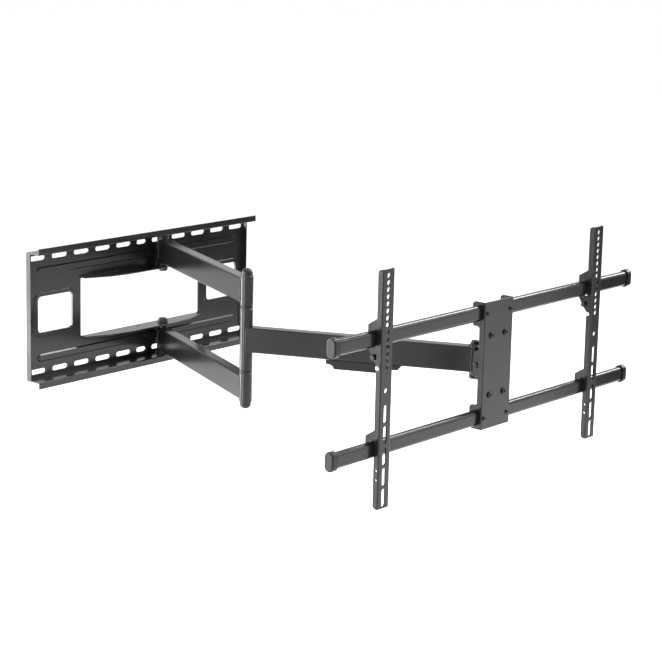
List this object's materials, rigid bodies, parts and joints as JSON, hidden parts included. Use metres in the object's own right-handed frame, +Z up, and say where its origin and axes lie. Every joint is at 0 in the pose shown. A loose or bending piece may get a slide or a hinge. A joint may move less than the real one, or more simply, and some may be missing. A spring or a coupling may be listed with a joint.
{
  "type": "full motion tv wall mount",
  "caption": "Long-reach articulating wall mount for a large flat television: slotted wall plate, double rear arm, forearm, tilting head, horizontal rails and sliding uprights.",
  "frame": {"origin": "centre of the wall plate's bolt slots, on the plate's back face where it meets the wall", "axes": "+Z up, +Y into the wall, -Y towards the television, +X to the right of someone who faces the wall"},
  "size_m": [0.916, 0.9079, 0.43],
  "materials": {
    "powder_coat": "satin black powder coat on pressed and welded steel",
    "black_plastic": "fine-textured black plastic",
    "bush_plastic": "smooth black bearing plastic",
    "dark_fastener": "black oxide steel",
    "zinc_screw": "bright zinc plated steel"
  },
  "bodies": {
    "wall": {"wall_plate": "powder_coat", "wall_pivot_bolts": "dark_fastener", "wall_pivot_nuts": "dark_fastener", "wall_pivot_washers": "dark_fastener"},
    "rear_arms": {"upper_rear_arm": "powder_coat", "lower_rear_arm": "powder_coat", "wall_barrels": "powder_coat", "wall_pivot_bushes": "bush_plastic", "rear_elbow_barrels": "powder_coat", "rear_elbow_bushes": "bush_plastic", "elbow_washers": "dark_fastener", "elbow_pin": "dark_fastener", "elbow_nuts": "dark_fastener", "elbow_caps": "black_plastic"},
    "forearm": {"forearm_tube": "powder_coat", "fore_elbow_barrel": "powder_coat", "fore_elbow_bushes": "bush_plastic", "head_sleeve": "powder_coat", "head_bushes": "bush_plastic", "cable_cover": "black_plastic", "cable_cover_screws": "dark_fastener"},
    "yoke": {"swivel_yoke": "powder_coat", "swivel_bolt": "dark_fastener", "swivel_nut": "dark_fastener", "tilt_bolts": "dark_fastener", "tilt_nuts": "dark_fastener"},
    "tilt_plate": {"tilt_bracket": "powder_coat"},
    "rail_frame": {"column": "powder_coat", "level_pivot": "dark_fastener", "column_bolts": "dark_fastener", "column_nuts": "dark_fastener", "rail_screws": "dark_fastener", "upper_rail": "powder_coat", "lower_rail": "powder_coat", "upper_rail_caps": "black_plastic", "lower_rail_caps": "black_plastic"},
    "left_upright": {"left_bracket": "powder_coat", "left_hooks": "powder_coat", "left_latch_screw": "zinc_screw"},
    "left_catch": {"left_latch": "powder_coat", "left_latch_knob": "black_plastic"},
    "right_upright": {"right_bracket": "powder_coat", "right_hooks": "powder_coat", "right_latch_screw": "zinc_screw"},
    "right_catch": {"right_latch": "powder_coat", "right_latch_knob": "black_plastic"}
  },
  "joints": [
    {"name": "wall_swivel", "type": "hinge", "parent": "wall", "child": "rear_arms", "pos_m": [0.046, -0.022, 0], "axis": [0, 0, 1], "range_deg": [-62, 107]},
    {"name": "elbow_swivel", "type": "hinge", "parent": "rear_arms", "child": "forearm", "pos_m": [-0.1292, -0.44083, 0], "axis": [0, 0, -1], "range_deg": [-75, 120]},
    {"name": "head_swivel", "type": "hinge", "parent": "forearm", "child": "yoke", "pos_m": [0.06768, -0.84992, 0], "axis": [0, 0, 1], "range_deg": [-60, 60]},
    {"name": "head_tilt", "type": "hinge", "parent": "yoke", "child": "tilt_plate", "pos_m": [0.06768, -0.87142, -0.0055], "axis": [1, 0, 0], "range_deg": [-5, 15]},
    {"name": "head_level", "type": "hinge", "parent": "tilt_plate", "child": "rail_frame", "pos_m": [0.06768, -0.89877, 0], "axis": [0, 1, 0], "range_deg": [-3, 3]},
    {"name": "left_slide", "type": "slide", "parent": "rail_frame", "child": "left_upright", "axis": [1, 0, 0], "range_m": [-0.092, 0.267]},
    {"name": "right_slide", "type": "slide", "parent": "rail_frame", "child": "right_upright", "axis": [1, 0, 0], "range_m": [-0.251, 0.108]},
    {"name": "left_latch_hinge", "type": "hinge", "parent": "left_upright", "child": "left_catch", "pos_m": [-0.27557, -0.90052, 0.0495], "axis": [-1, 0, 0], "range_deg": [0, 60]},
    {"name": "right_latch_hinge", "type": "hinge", "parent": "right_upright", "child": "right_catch", "pos_m": [0.37193, -0.90052, 0.0495], "axis": [-1, 0, 0], "range_deg": [0, 60]}
  ]
}
